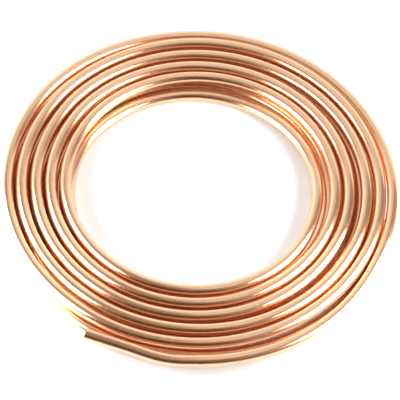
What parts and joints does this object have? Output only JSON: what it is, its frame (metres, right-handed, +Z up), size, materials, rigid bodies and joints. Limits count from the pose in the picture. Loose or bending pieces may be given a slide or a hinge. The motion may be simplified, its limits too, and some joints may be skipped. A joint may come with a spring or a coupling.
{
  "type": "copper tube coil",
  "caption": "Flat double-layer coil of bright soft copper tube, lying on its side with an open eye, one cut end free on top and the other tucked under.",
  "frame": {"origin": "on the floor, under the middle of the coil's footprint", "axes": "+Z up along the coil's winding axis; -Y towards the side where the free end lies, +X towards the side where the tube leaves the free end and starts to wind"},
  "size_m": [0.212, 0.2192, 0.0131],
  "materials": {
    "bright_copper": "polished"
  },
  "bodies": {
    "root": {"copper_tube": "bright_copper"}
  },
  "joints": []
}
